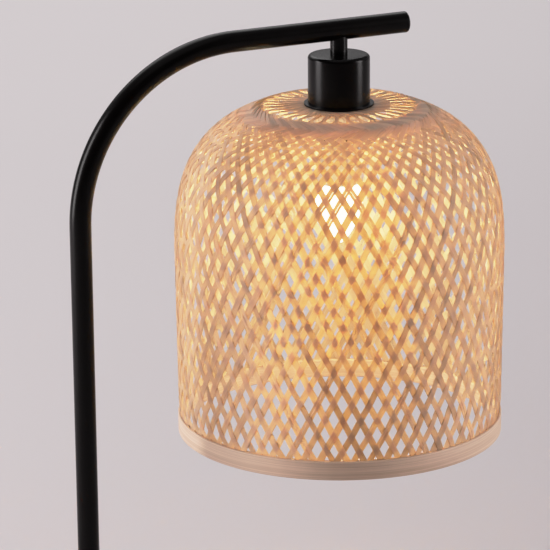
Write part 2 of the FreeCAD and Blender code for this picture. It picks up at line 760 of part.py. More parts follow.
def build_bulb():
    """The bulb: contact, insulator, screw base, housing, driver, light board and diffuser."""
    insulator_top = "-bulb_top - bulb_contact_thickness"
    insulator_bottom = f"{insulator_top} - insulator_thickness"
    tip_drop = "(bulb_bottom - bulb_tip_radius - bulb_belly_level)"
    belly_arc = (
        f"((bulb_belly_radius ^ 2 + {tip_drop} ^ 2 - bulb_tip_radius ^ 2)"
        " / (2 * (bulb_belly_radius - bulb_tip_radius)))"
    )
    rim_rise = "(bulb_belly_level - diffuser_rim_level)"
    rim_radius = f"(bulb_belly_radius - {belly_arc} + sqrt({belly_arc} ^ 2 - {rim_rise} ^ 2))"
    inner_arc = f"({belly_arc} - diffuser_wall)"
    inner_rim_radius = f"(bulb_belly_radius - {belly_arc} + sqrt({inner_arc} ^ 2 - {rim_rise} ^ 2))"
    inner_tip = "(bulb_tip_radius - diffuser_wall)"
    tip_across = f"(({belly_arc} - bulb_belly_radius) / ({belly_arc} - bulb_tip_radius))"
    tip_down = f"({tip_drop} / ({belly_arc} - bulb_tip_radius))"
    tip_centre = "-bulb_bottom + bulb_tip_radius"

    revolve("bulb_contact", HEAD, [
        ("0", insulator_top),
        ("bulb_contact_radius", insulator_top),
        ("bulb_contact_radius", "-bulb_top - bulb_contact_thickness / 2"),
        ("bulb_contact_radius / 2", "-bulb_top"),
        ("0", "-bulb_top"),
    ])
    revolve("bulb_insulator", HEAD, [
        ("0", insulator_bottom),
        ("insulator_radius", insulator_bottom),
        ("bulb_contact_radius", insulator_top),
        ("0", insulator_top),
    ])
    revolve("bulb_screw_base", HEAD, [
        ("insulator_radius", f"{insulator_bottom} - base_shell_wall"),
        ("base_shell_radius - base_shell_wall", "-base_shell_shoulder - base_shell_wall"),
        ("base_shell_radius - base_shell_wall", "-base_shell_bottom"),
        ("base_shell_radius", "-base_shell_bottom"),
        ("base_shell_radius", "-base_shell_shoulder"),
        ("insulator_radius", insulator_bottom),
    ])
    revolve("bulb_housing", HEAD, [
        ("base_shell_radius - base_shell_wall - housing_wall", "-housing_inset_top"),
        ("base_shell_radius - base_shell_wall - housing_wall", "-base_shell_bottom"),
        ("housing_neck_radius - housing_wall", "-housing_neck_level", "housing_flare", "left"),
        (f"{rim_radius} - housing_wall", "-diffuser_rim_level"),
        (rim_radius, "-diffuser_rim_level", "housing_flare"),
        ("housing_neck_radius", "-housing_neck_level"),
        ("housing_neck_radius", "-base_shell_bottom"),
        ("base_shell_radius - base_shell_wall", "-base_shell_bottom"),
        ("base_shell_radius - base_shell_wall", "-housing_inset_top"),
    ])
    revolve("bulb_diffuser", HEAD, [
        ("0", "-bulb_bottom", "bulb_tip_radius"),
        (f"bulb_tip_radius * {tip_across}", f"{tip_centre} - bulb_tip_radius * {tip_down}", belly_arc),
        (rim_radius, "-diffuser_rim_level"),
        (inner_rim_radius, "-diffuser_rim_level", inner_arc, "left"),
        (f"{inner_tip} * {tip_across}", f"{tip_centre} - {inner_tip} * {tip_down}", inner_tip, "left"),
        ("0", "-bulb_bottom + diffuser_wall"),
    ])

    board = new_body("led_board", HEAD)
    disc = new_sketch(board, "XY_Plane", "-diffuser_rim_level + board_thickness")
    draw_circle(disc, "board_radius")
    pad(board, disc, "board_thickness", reverse=True)

    driver = new_body("led_driver", HEAD)
    block = new_sketch(driver, "XY_Plane", "-driver_bottom")
    draw_line(block, [
        ("-driver_width / 2", "-driver_depth / 2"), ("driver_width / 2", "-driver_depth / 2"),
        ("driver_width / 2", "driver_depth / 2"), ("-driver_width / 2", "driver_depth / 2"),
    ])
    pad(driver, block, "driver_bottom - driver_top")


def check_and_write():
    """Stop at any failed object or bad shape, then write each piece to its own file."""
    DOC.recompute()
    failed = [item.Label for item in DOC.Objects if {"Invalid", "Error"} & set(item.State)]
    for piece in PIECES:
        if piece.Shape.isNull() or not piece.Shape.isValid() or not piece.Shape.Solids:
            failed.append(piece.Label)
    if failed:
        raise RuntimeError("failed objects: " + ", ".join(failed))
    os.makedirs("parts", exist_ok=True)
    for piece in PIECES:
        piece.Shape.exportStep(os.path.join("parts", piece.Label + ".step"))
        print(f"{piece.Label}: {piece.Shape.Volume / 1000:.2f} cm3, {len(piece.Shape.Solids)} solid(s)")


fill_sheet()
build_base()
build_pole_fixing()
build_gland()
build_stand()
build_cup()
build_lampholder()
build_wiring()
build_weave()
build_shade_fittings()
build_bulb()
check_and_write()
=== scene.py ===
import json
import math

import bmesh
import bpy
import numpy as np
from mathutils import Matrix, Vector


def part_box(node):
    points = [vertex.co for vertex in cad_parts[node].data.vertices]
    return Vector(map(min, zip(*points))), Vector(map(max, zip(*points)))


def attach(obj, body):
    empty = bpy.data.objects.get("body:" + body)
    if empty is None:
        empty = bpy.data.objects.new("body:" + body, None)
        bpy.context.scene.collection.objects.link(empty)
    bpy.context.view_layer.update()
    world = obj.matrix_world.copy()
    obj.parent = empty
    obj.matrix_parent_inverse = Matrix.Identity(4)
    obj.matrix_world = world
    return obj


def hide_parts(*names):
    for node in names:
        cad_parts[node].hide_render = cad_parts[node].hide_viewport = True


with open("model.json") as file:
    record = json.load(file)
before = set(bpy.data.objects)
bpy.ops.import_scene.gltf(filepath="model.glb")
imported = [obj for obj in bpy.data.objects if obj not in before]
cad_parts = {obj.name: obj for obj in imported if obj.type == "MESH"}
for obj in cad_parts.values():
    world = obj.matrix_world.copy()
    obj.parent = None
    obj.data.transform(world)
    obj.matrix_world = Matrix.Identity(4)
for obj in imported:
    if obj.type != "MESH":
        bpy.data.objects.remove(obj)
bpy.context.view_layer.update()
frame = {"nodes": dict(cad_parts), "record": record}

MM = 0.001

# ---------------------------------------------------------------- places read from the frame

cup_low, cup_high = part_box("socket_cup")
tube_low, tube_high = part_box("stand_tube")
HEAD_X = (cup_low.x + cup_high.x) / 2
TUBE_RADIUS = (tube_high.y - tube_low.y) / 2
ARM_LEVEL = tube_high.z - TUBE_RADIUS
POLE_X = tube_low.x + TUBE_RADIUS

weave_low, weave_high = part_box("shade_weave")
hoop_low, hoop_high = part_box("hoop_outer")

# ---------------------------------------------------------------- sizes of the weave, in metres

STRIPS = 62                    # strips that lean each way
STRIP_WIDTH = 5.0 * MM
STRIP_THICKNESS = 0.5 * MM
LIFT = 0.34 * MM               # how far a strip rises or dips where another crosses it
TURN_RADIUS = 57.0 * MM        # radius times the cosine of a strip's slope, on the side and shoulder
RELEASE_RADIUS = 64.0 * MM     # inside this, the strips swing round towards the middle
INNER_WIDTH = 2.4 * MM
SHOULDER_SLIM = 0.86           # share of the width kept on the shoulder, below the closed ring
MEET_RADIUS = 48.0 * MM        # here the strips lie in bundles, with openings between them
BUNDLES = 36
STATION = 3.0 * MM             # spacing of the cross-sections along a strip
DOME_RADIUS = (weave_high.y - weave_low.y) / 2
DOME_CROWN = ARM_LEVEL - 52.5 * MM
DOME_DROP = 118.0 * MM
DOME_POWER = 2.81
WEAVE_INSET = 0.7 * MM         # from the outer face to the middle of the weave
HOLE_RADIUS = 21.4 * MM
RIM_RADIUS = 122.2 * MM
TUCK_RADIUS = 123.4 * MM
TUCK_HEIGHT = 10.0 * MM

# ---------------------------------------------------------------- sizes of the smooth pieces

BEND_RADIUS = 125 * MM
TUBE_WALL = 1 * MM
END_CAP = 1 * MM
FITTER_BORE = 20.05 * MM
TUBE_SIDES = 64
BEND_STEPS = 48
CORNER_STEPS = 8
ARC_STEPS = 12
BULB_STEPS = 28
FLUTES = 36                    # grip ribs round the retaining ring
THREAD_PITCH = 3.629 * MM
THREAD_DEPTH = 0.62 * MM
HOOP_THICKNESS = 1.5 * MM
HOOP_LINES = 40                # rows of points up a hoop's face
HOOP_SIDES = 360

# ---------------------------------------------------------------- light

COVER_STRENGTH = 3.2           # how bright the bulb's lit cover itself looks
BULB_POWER = 2.05              # of the light inside the cover, in watts
WHITE_LEVEL = 4.0              # the light that the view shows as full white
SHOULDER_TONES = ((0.3, 0.3), (0.62, 0.62), (0.9, 0.80), (1.3, 0.89), (2.0, 0.95), (3.0, 0.985))


# ---------------------------------------------------------------- material helpers

def new_material(name):
    """A material with its node tree and its Principled shader."""
    material = bpy.data.materials.new(name)
    material.use_nodes = True
    tree = material.node_tree
    return material, tree, tree.nodes["Principled BSDF"]


def add_node(tree, kind, **settings):
    """A node of that kind, with its settings and input values."""
    node = tree.nodes.new(kind)
    for key, value in settings.items():
        if hasattr(node, key):
            setattr(node, key, value)
        else:
            node.inputs[key.replace("_", " ")].default_value = value
    return node


def noise(tree, scale, detail=3.0, stretch=(1, 1, 1), uv=None):
    """A noise factor over the object's own place, or over a named UV map."""
    if uv:
        place = add_node(tree, "ShaderNodeUVMap", uv_map=uv).outputs[0]
    else:
        place = add_node(tree, "ShaderNodeTexCoord").outputs["Object"]
    mapping = add_node(tree, "ShaderNodeMapping", Scale=stretch)
    tree.links.new(place, mapping.inputs["Vector"])
    texture = add_node(tree, "ShaderNodeTexNoise", Scale=scale, Detail=detail)
    tree.links.new(mapping.outputs[0], texture.inputs["Vector"])
    return texture.outputs[0]


def ramp(tree, factor, low, high, start=0.3, end=0.7):
    """A colour that runs from low to high as the factor runs from start to end."""
    node = tree.nodes.new("ShaderNodeValToRGB")
    node.color_ramp.elements[0].position = start
    node.color_ramp.elements[1].position = end
    node.color_ramp.elements[0].color = (*low, 1)
    node.color_ramp.elements[1].color = (*high, 1)
    tree.links.new(factor, node.inputs[0])
    return node.outputs[0]


def span(tree, factor, low, high):
    """The factor, from 0 to 1, mapped to a range of values."""
    node = add_node(tree, "ShaderNodeMapRange")
    node.inputs["To Min"].default_value = low
    node.inputs["To Max"].default_value = high
    tree.links.new(factor, node.inputs["Value"])
    return node.outputs[0]


def multiply(tree, first, second, factor=1.0):
    """Two colours multiplied."""
    node = tree.nodes.new("ShaderNodeMix")
    node.data_type = "RGBA"
    node.blend_type = "MULTIPLY"
    node.inputs[0].default_value = factor
    tree.links.new(first, node.inputs[6])
    tree.links.new(second, node.inputs[7])
    return node.outputs[2]


def bump(tree, shader, height, distance, strength=1.0):
    """Relief on the shader from a height factor."""
    node = add_node(tree, "ShaderNodeBump", Strength=strength, Distance=distance)
    tree.links.new(height, node.inputs["Height"])
    tree.links.new(node.outputs[0], shader.inputs["Normal"])


def simple_finish(name, low, high, rough, grain, relief, metallic=0.0, specular=0.5, stretch=(1, 1, 1)):
    """A finish with mottled colour, uneven gloss and a fine relief."""
    material, tree, shader = new_material(name)
    mottle = noise(tree, grain, 4.0, stretch)
    fine = noise(tree, grain * 6, 3.0, stretch)
    tree.links.new(ramp(tree, mottle, low, high), shader.inputs["Base Color"])
    tree.links.new(span(tree, fine, rough[0], rough[1]), shader.inputs["Roughness"])
    bump(tree, shader, fine, relief)
    shader.inputs["Metallic"].default_value = metallic
    shader.inputs["Specular IOR Level"].default_value = specular
    return material


def bamboo_finish(name, low, high, uv, grain, translucent=0.0, glow=(1, 1, 1)):
    """Split bamboo: fibres along the piece, a tone of its own for each strip, and some light through."""
    material, tree, shader = new_material(name)
    fibre = noise(tree, 1.0, 5.0, grain, uv)
    patch = noise(tree, 1.0, 2.0, (grain[0] * 0.1, grain[1] * 0.6, 1), uv)
    tone = add_node(tree, "ShaderNodeAttribute", attribute_name="tone").outputs["Fac"]
    fibre_colour = ramp(tree, fibre, low, high, 0.32, 0.68)
    patch_colour = ramp(tree, patch, (0.86, 0.84, 0.82), (1, 1, 1), 0.3, 0.6)
    tone_colour = ramp(tree, tone, (0.76, 0.74, 0.72), (1, 1, 1), 0.0, 1.0)
    colour = multiply(tree, multiply(tree, fibre_colour, patch_colour), tone_colour)
    tree.links.new(colour, shader.inputs["Base Color"])
    tree.links.new(span(tree, fibre, 0.62, 0.45), shader.inputs["Roughness"])
    shader.inputs["Specular IOR Level"].default_value = 0.35
    bump(tree, shader, fibre, 0.08 * MM, 0.8)
    if translucent:
        through = add_node(tree, "ShaderNodeBsdfTranslucent")
        glow_colour = ramp(tree, fibre, [0.86 * part for part in glow], glow, 0.3, 0.7)
        tree.links.new(multiply(tree, glow_colour, tone_colour), through.inputs["Color"])
        mix = add_node(tree, "ShaderNodeMixShader")
        mix.inputs[0].default_value = translucent
        tree.links.new(shader.outputs[0], mix.inputs[1])
        tree.links.new(through.outputs[0], mix.inputs[2])
        tree.links.new(mix.outputs[0], tree.nodes["Material Output"].inputs["Surface"])
    return material


# ---------------------------------------------------------------- mesh helpers

def new_piece(name, vertices, faces, material, body, replaced=()):
    """An object from a mesh, with its material, hung on its body; the CAD nodes that it replaces are hidden.
    """
    mesh = bpy.data.meshes.new(name)
    mesh.from_pydata([tuple(v) for v in vertices], [], [tuple(f) for f in faces])
    mesh.update()
    mesh.materials.append(material)
    piece = bpy.data.objects.new(name, mesh)
    bpy.context.scene.collection.objects.link(piece)
    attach(piece, body)
    if replaced:
        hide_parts(*replaced)
    return piece


def smooth(piece, angle=math.radians(35)):
    """Smooth shading, with edges sharper than the angle kept."""
    mesh = piece.data
    mesh.polygons.foreach_set("use_smooth", [True] * len(mesh.polygons))
    mesh.set_sharp_from_angle(angle=angle)


def lathe(profile, centre, count, wobble=None):
    """Vertices and faces of a closed outline of (radius, level) turned about the upright axis."""
    vertices = []
    for step in range(count):
        turn = 2 * math.pi * step / count
        for index, (radius, level) in enumerate(profile):
            shift = wobble(turn, index) if wobble else 0.0
            reach = radius + shift
            vertices.append((centre[0] + reach * math.cos(turn), centre[1] + reach * math.sin(turn), level))
    size = len(profile)
    faces = []
    for step in range(count):
        here = step * size
        there = (step + 1) % count * size
        for index in range(size):
            after = (index + 1) % size
            faces.append((here + index, there + index, there + after, here + after))
    return vertices, faces


def rounded(points):
    """An outline of (radius, level), with an arc at each point that gives a corner radius too."""
    outline = []
    for index, point in enumerate(points):
        if len(point) == 2:
            outline.append(point)
            continue
        here = Vector(point[:2])
        back = (Vector(points[index - 1][:2]) - here).normalized()
        onward = (Vector(points[(index + 1) % len(points)][:2]) - here).normalized()
        half = back.angle(onward) / 2
        middle = here + (back + onward).normalized() * point[2] / math.sin(half)
        start = here + back * point[2] / math.tan(half) - middle
        end = here + onward * point[2] / math.tan(half) - middle
        for step in range(CORNER_STEPS + 1):
            spoke = start.lerp(end, step / CORNER_STEPS).normalized() * point[2]
            outline.append(tuple(middle + spoke))
    return outline


def weld(piece):
    """Join the points that coincide, such as those on a turned piece's axis."""
    work = bmesh.new()
    work.from_mesh(piece.data)
    bmesh.ops.remove_doubles(work, verts=work.verts, dist=0.001 * MM)
    work.to_mesh(piece.data)
    work.free()


def turn_upright(name, node, points, material, body, count=128, centre=None):
    """A turned piece with an upright axis, on the shade's axis unless a centre is given."""
    vertices, faces = lathe(rounded(points), centre or (HEAD_X, 0), count)
    piece = new_piece(name, vertices, faces, material, body, (node,))
    weld(piece)
    smooth(piece)
    return piece


def turn_level(name, node, points, place, material, body, count=64):
    """A turned piece whose axis lies along X, with each level measured from the place."""
    vertices, faces = lathe(rounded(points), (0, 0), count)
    vertices = [(place[0] + level, place[1] + a, place[2] + b) for a, b, level in vertices]
    piece = new_piece(name, vertices, faces, material, body, (node,))
    weld(piece)
    smooth(piece)
    return piece


# ---------------------------------------------------------------- the woven shade

def dome_outline():
    """Points (radius, level) of the weave's middle from the rim to the hole at the top, evenly spaced."""
    power = 2 / DOME_POWER
    points = [
        (RIM_RADIUS, weave_low.z + 1 * MM),
        (RIM_RADIUS, hoop_high.z),
        (TUCK_RADIUS, hoop_high.z + TUCK_HEIGHT),
        (DOME_RADIUS, DOME_CROWN - DOME_DROP),
    ]
    for turn in np.linspace(math.pi / 2, 0.05, 400)[1:]:
        radius = DOME_RADIUS * math.sin(turn) ** power
        level = DOME_CROWN - DOME_DROP * (1 - math.cos(turn) ** power)
        if level < weave_high.z:
            points.append((radius, level))
    points.append((HOLE_RADIUS, weave_high.z))
    points = np.array(points)
    length = np.concatenate([[0], np.cumsum(np.hypot(*np.diff(points, axis=0).T))])
    even = np.linspace(0, length[-1], 1400)
    outline = np.stack([np.interp(even, length, points[:, k]) for k in (0, 1)], axis=1)
    window = 41
    padded = np.concatenate([
        2 * outline[0] - outline[window // 2:0:-1],
        outline,
        2 * outline[-1] - outline[-2:-window // 2 - 1:-1],
    ])
    kernel = np.hanning(window + 2)[1:-1]
    kernel /= kernel.sum()
    outline = np.stack([np.convolve(padded[:, k], kernel, "valid") for k in (0, 1)], axis=1)
    tangent = np.gradient(outline, axis=0)
    tangent /= np.linalg.norm(tangent, axis=1)[:, None]
    normal = np.stack([tangent[:, 1], -tangent[:, 0]], axis=1)
    return outline - normal * WEAVE_INSET, tangent, normal


def strip_slope(radius):
    """A strip's slope from the level direction, at a distance from the axis."""
    if radius > RELEASE_RADIUS:
        return math.acos(TURN_RADIUS / radius)
    release = math.degrees(math.acos(TURN_RADIUS / RELEASE_RADIUS))
    places = (30, 36, 42, 54, 60, 64)
    slopes = (62, 64, 86, 86, 31, release)
    return math.radians(np.interp(radius / MM, places, slopes))


def strip_path():
    """What every strip shares, by station: radius, level, tangent, normal, slope, and angle turned."""
    outline, tangent, normal = dome_outline()
    pitch = np.hypot(*(outline[1] - outline[0]))
    travelled, turned, along = 0.0, 0.0, 0.0
    rows = []
    fine = 0.25 * MM
    steps = round(STATION / fine)
    count = 0
    while travelled < pitch * (len(outline) - 1):
        place = travelled / pitch
        index = min(int(place), len(outline) - 2)
        share = place - index
        radius, level = outline[index] * (1 - share) + outline[index + 1] * share
        slope = strip_slope(radius)
        if count % steps == 0:
            rows.append((radius, level, *tangent[index], *normal[index], slope, turned, along))
        travelled += fine * math.sin(slope)
        turned += fine * math.cos(slope) / radius
        along += fine
        count += 1
    return np.array(rows)


def strip_widths(radius, base):
    """A strip's width by station: full on the side, and slimmer inside the release radius."""
    share = np.clip((62 * MM - radius) / (6 * MM), 0, 1)
    share = share * share * (3 - 2 * share)
    slim = np.interp(radius / MM, (66, 74, 88, 112), (1, SHOULDER_SLIM, SHOULDER_SLIM, 1))
    return base * slim * (1 - share) + INNER_WIDTH * share


def crossing_lifts(angles, rng):
    """For each leaning family, each strip's rise (1) or dip (-1) by station."""
    stations = angles[0].shape[1]
    rank = [rng.uniform(-1, 1, STRIPS), rng.uniform(-1, 1, STRIPS)]
    knots = [[[] for _ in range(STRIPS)] for _ in range(2)]
    for first in range(STRIPS):
        gap = (angles[0][first][None, :] - angles[1]) / (2 * math.pi)
        cell = np.floor(gap)
        other, station = np.nonzero(np.diff(cell, axis=1))
        for second, at in zip(other, station):
            edge = max(cell[second, at], cell[second, at + 1])
            share = (edge - gap[second, at]) / (gap[second, at + 1] - gap[second, at])
            twill = 1 if (first + second) % 2 else -1
            score = twill + 0.75 * (rank[0][first] - rank[1][second])
            side = 1 if score > 0 else -1
            knots[0][first].append((at + share, side))
            knots[1][second].append((at + share, -side))
    lifts = []
    for family in range(2):
        rows = np.zeros((STRIPS, stations))
        for strip in range(STRIPS):
            marks = sorted(knots[family][strip])
            places, sides = [], []
            for index, (at, side) in enumerate(marks):
                before = marks[index - 1][0] if index else at - 4
                after = marks[index + 1][0] if index + 1 < len(marks) else at + 4
                places += [at - 0.27 * (at - before), at + 0.27 * (after - at)]
                sides += [side, side]
            rows[strip] = np.interp(np.arange(stations), places, sides)
        lifts.append(rows)
    return lifts


def bundle_pull(radius, angle):
    """The turn that draws each strip to the nearest of the bundles between the flange and the band."""
    gap = 2 * math.pi / BUNDLES
    column = int(np.argmin(np.abs(radius - MEET_RADIUS)))
    there = angle[:, column]
    pull = np.round(there / gap) * gap - there
    share = np.interp(radius / MM, (36, 42, 54, 58), (0, 0.85, 0.85, 0))
    return pull[:, None] * share[None, :]


def zone_side(radius):
    """Which family lies on top near the middle, where the strips close up: 1 or -1, eased between rings."""
    rings = [(0, -1), (66.5, -1), (69, 1), (200, 1)]
    return np.interp(radius / MM, [r for r, _ in rings], [side for _, side in rings])


def build_strips(material):
    """The strips of the shade, one piece for each way that they lean."""
    rng = np.random.default_rng(11)
    path = strip_path()
    radius, turned, along = path[:, 0], path[:, 7], path[:, 8]
    pitch = 2 * math.pi / STRIPS
    angles = []
    for lean in (1, -1):
        start = np.arange(STRIPS) * pitch + rng.normal(0, 0.04, STRIPS) * pitch
        wave = rng.uniform(0, 2 * math.pi, STRIPS)[:, None]
        period = rng.uniform(0.12, 0.3, STRIPS)[:, None]
        drift = 0.06 * pitch * np.sin(2 * math.pi * along[None, :] / period + wave)
        drift *= np.clip((radius - RELEASE_RADIUS) / (30 * MM), 0.15, 1)[None, :]
        meet = 0 if lean > 0 else 2 * np.interp(-MEET_RADIUS, -radius, turned)
        angle = start[:, None] + meet + lean * turned[None, :] + drift
        angles.append(angle + bundle_pull(radius, angle))
    lifts = crossing_lifts(angles, rng)
    names = ("weave_strips_right", "weave_strips_left")
    for family, lean in enumerate((1, -1)):
        vertices, faces, tones, uvs = [], [], [], []
        for strip in range(STRIPS):
            base = STRIP_WIDTH * rng.uniform(0.84, 1.1)
            tone = rng.uniform(0, 1)
            split = rng.uniform() < 0.12
            bands = [(-1.0, 1.0)]
            if split:
                cut = rng.uniform(-0.3, 0.3)
                bands = [(-1.0, cut - 0.045), (cut + 0.045, 1.0)]
            for band in bands:
                add_strip(vertices, faces, tones, uvs, path, angles[family][strip], lifts[family][strip],
                          lean, base, band, tone + rng.uniform(-0.05, 0.05), rng.uniform(0, 400))
        piece = new_piece(names[family], vertices, faces, material, "shade", ("shade_weave",))
        mesh = piece.data
        tone_layer = mesh.attributes.new("tone", "FLOAT", "POINT")
        tone_layer.data.foreach_set("value", np.clip(tones, 0, 1))
        uv_layer = mesh.uv_layers.new(name="strip")
        corner = np.empty(len(mesh.loops), dtype=np.int32)
        mesh.loops.foreach_get("vertex_index", corner)
        uv_layer.data.foreach_set("uv", np.array(uvs)[corner].ravel())
        smooth(piece, math.radians(28))


def add_strip(vertices, faces, tones, uvs, path, angle, lift, lean, base, band, tone, shift):
    """Add one strip, or one half of a split strip, to the lists of its family's mesh."""
    radius, level = path[:, 0], path[:, 1]
    slope, along = path[:, 6], path[:, 8]
    width = strip_widths(radius, base)
    spacing = 2 * math.pi / STRIPS * radius * np.sin(slope)
    shingle = np.clip(width / spacing - 0.9, 0, 0.35) / 0.35 * STRIP_THICKNESS * 1.1 / spacing
    close = np.clip((75 * MM - radius) / (4 * MM), 0, 1)
    stack = STRIP_THICKNESS * np.clip(width / spacing, 1, 2.2) / 2
    raised = (1 - close) * LIFT * lift + close * zone_side(radius) * lean * stack
    thickness = STRIP_THICKNESS * np.interp(radius / MM, (54, 60), (0.6, 1))
    squeeze = np.clip((radius - 28 * MM) / (14 * MM), 0.55, 1)
    raised = raised * squeeze

    out = np.stack([np.cos(angle), np.sin(angle), np.zeros_like(angle)], axis=1)
    up = np.array([0, 0, 1.0])
    round_way = np.stack([-np.sin(angle), np.cos(angle), np.zeros_like(angle)], axis=1)
    climb = path[:, 2, None] * out + path[:, 3, None] * up
    normal = path[:, 4, None] * out + path[:, 5, None] * up
    across = np.cos(slope)[:, None] * climb - lean * np.sin(slope)[:, None] * round_way
    centre = radius[:, None] * out + level[:, None] * up + np.array([HEAD_X, 0, 0])

    low, high = band
    edge = 0.1 * (high - low) / 2
    section = [(low, -0.5), (high, -0.5), (high, 0.15), (high - edge, 0.5), (low + edge, 0.5), (low, 0.15)]
    stations = len(radius)
    first = len(vertices)
    rings = []
    for side, rise in section:
        sideways = (side * width / 2)[:, None] * across
        tilt = side * width / 2 * shingle
        rings.append(centre + sideways + (raised + tilt + rise * thickness)[:, None] * normal)
    vertices.extend(np.stack(rings, axis=1).reshape(-1, 3))
    size = len(section)
    for station in range(stations - 1):
        here = first + station * size
        for index in range(size):
            after = (index + 1) % size
            quad = (here + index, here + after, here + size + after, here + size + index)
            faces.append(quad if lean > 0 else quad[::-1])
    start = [first + index for index in range(size)]
    end = [first + (stations - 1) * size + index for index in range(size)]
    faces.append(start[::-1] if lean > 0 else start)
    faces.append(end if lean > 0 else end[::-1])
    tones.extend([tone] * (stations * size))
    for station in range(stations):
        for side, rise in section:
            uvs.append((side * width[station] / 2 / MM + shift, along[station] / MM + shift * 3))


# ---------------------------------------------------------------- hoops, ring and bulb base

def hoop_tone(share):
    """A hoop's tone by share of its height: fine lines of the laminate, darker ones at three heights where it
    is joined, and darker bands along its bottom and top edges.
    """
    line = 0.5 + 0.22 * math.sin(41 * share + 0.6) + 0.16 * math.sin(67 * share + 2.1)
    for at, depth in ((0.02, 0.5), (0.30, 0.75), (0.36, 0.25), (0.62, 0.3), (0.98, 0.7)):
        line -= depth * math.exp(-((share - at) / 0.022) ** 2)
    return min(1.0, max(0.0, line))


def build_hoops(material):
    """The two bands of laminated bamboo at the rim, each lapped where its ends meet."""
    bands = (("hoop_outer", "rim_band_outer", True), ("hoop_inner", "rim_band_inner", False))
    for node, name, outside in bands:
        low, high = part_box(node)
        outer = (high.y - low.y) / 2
        inner = outer - HOOP_THICKNESS
        height = high.z - low.z
        face = []
        lines = HOOP_LINES
        for step in range(lines + 1):
            share = step / lines
            groove = 0.05 * MM * math.sin(37 * share + 1.3) * math.sin(11 * share + 0.4)
            deep = 0.16 * MM * sum(math.exp(-((share - at) / 0.012) ** 2) for at in (0.18, 0.43, 0.70))
            edge = 0.5 * MM * (max(0, 1 - share / 0.05) ** 2 + max(0, 1 - (1 - share) / 0.05) ** 2)
            face.append((share, groove - deep - edge))
        outline = []
        if outside:
            outline += [(outer - 0.08 * MM + dip, low.z + share * height) for share, dip in face]
            outline += [(inner, high.z), (inner, low.z)]
        else:
            outline += [(outer, low.z), (outer, high.z)]
            outline += [(inner + 0.08 * MM - dip, low.z + share * height) for share, dip in reversed(face)]

        def lap(turn, index, high_side=outside, last=len(outline)):
            joint = (turn - math.radians(118)) % (2 * math.pi)
            step = 0.35 * MM * math.exp(-(joint / 0.09) ** 2) if joint < 1 else 0.0
            skin = index < last - 2 if high_side else index > 1
            return (-step if high_side else step) if skin else 0.0

        count = HOOP_SIDES
        vertices, faces = lathe(outline, (HEAD_X, 0), count, lap)
        piece = new_piece(name, vertices, faces, material, "shade", (node,))
        mesh = piece.data
        mesh.attributes.new("tone", "FLOAT", "POINT").data.foreach_set("value", [
            hoop_tone((vertex.co.z - low.z) / height) for vertex in mesh.vertices
        ])
        uv_layer = mesh.uv_layers.new(name="strip")
        size = len(outline)
        for polygon in mesh.polygons:
            for loop in polygon.loop_indices:
                vertex = mesh.loops[loop].vertex_index
                step, index = divmod(vertex, size)
                seam = count if step == 0 and polygon.index >= (count - 1) * size else step
                uv_layer.data[loop].uv = (outline[index][1] / MM, seam * 2 * math.pi * outer / count / MM)
        smooth(piece, math.radians(40))


def build_bulb_thread(material):
    """The rolled round thread of the bulb's screw base, as one thin shell."""
    low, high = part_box("bulb_screw_base")
    centre = (HEAD_X, 0)
    outer = (high.x - low.x) / 2
    pitch = THREAD_PITCH
    depth = THREAD_DEPTH
    wall = 0.4 * MM
    columns = 96
    shoulder = 2.5 * MM
    levels = 84
    thread_high = high.z - shoulder

    def reach(turn, level):
        wave = 0.5 + 0.5 * math.cos(2 * math.pi * level / pitch - turn)
        ease = min(1.0, (thread_high - level) / pitch, (level - low.z) / (1.2 * pitch))
        return outer - depth * (1 - wave) * max(0.0, ease)

    vertices = []
    for inset in (0.0, wall):
        for row in range(levels + 1):
            level = low.z + (thread_high - low.z) * row / levels
            for column in range(columns):
                turn = 2 * math.pi * column / columns
                radius = reach(turn, level) - inset
                across, aside = radius * math.cos(turn), radius * math.sin(turn)
                vertices.append((centre[0] + across, centre[1] + aside, level))
        for column in range(columns):
            turn = 2 * math.pi * column / columns
            radius = 8.0 * MM - inset
            level = high.z - inset
            vertices.append((centre[0] + radius * math.cos(turn), centre[1] + radius * math.sin(turn), level))
    rows = levels + 2
    faces = []
    for side in range(2):
        for row in range(rows - 1):
            for column in range(columns):
                after = (column + 1) % columns
                here = (side * rows + row) * columns
                quad = (here + column, here + after, here + columns + after, here + columns + column)
                faces.append(quad if side == 0 else quad[::-1])
    for row in (0, rows - 1):
        for column in range(columns):
            after = (column + 1) % columns
            a = row * columns
            b = (rows + row) * columns
            quad = (a + column, b + column, b + after, a + after)
            faces.append(quad if row == 0 else quad[::-1])
    piece = new_piece("bulb_thread", vertices, faces, material, "bulb", ("bulb_screw_base",))
    smooth(piece, math.radians(50))


def build_ring(material):
    """The ring that holds the shade up on the lampholder, with its grip ribs."""
    low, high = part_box("shade_retaining_ring")
    centre = (HEAD_X, 0)
    flange = (high.x - low.x) / 2
    bore = 20.05 * MM
    sleeve = 22.6 * MM
    flange_low = high.z - 2 * MM
    edge = 0.4 * MM
    outline = [
        (bore, low.z + edge), (bore + edge, low.z), (sleeve - edge, low.z), (sleeve, low.z + edge),
        (sleeve, flange_low - edge), (sleeve + edge, flange_low), (flange - edge, flange_low),
        (flange, flange_low + edge), (flange, high.z - edge), (flange - edge, high.z),
        (bore + edge, high.z), (bore, high.z - edge),
    ]

    def ribs(turn, index):
        wave = 0.5 + 0.5 * math.cos(FLUTES * turn)
        if index in (3, 4):
            return 0.9 * MM * wave ** 2
        if index in (7, 8):
            return -0.5 * MM * wave ** 4
        return 0.0

    vertices, faces = lathe(outline, centre, 432, ribs)
    piece = new_piece("ring_nut", vertices, faces, material, "retaining_ring",
                      ("shade_retaining_ring",))
    smooth(piece, math.radians(40))


# ---------------------------------------------------------------- smooth metal and bulb

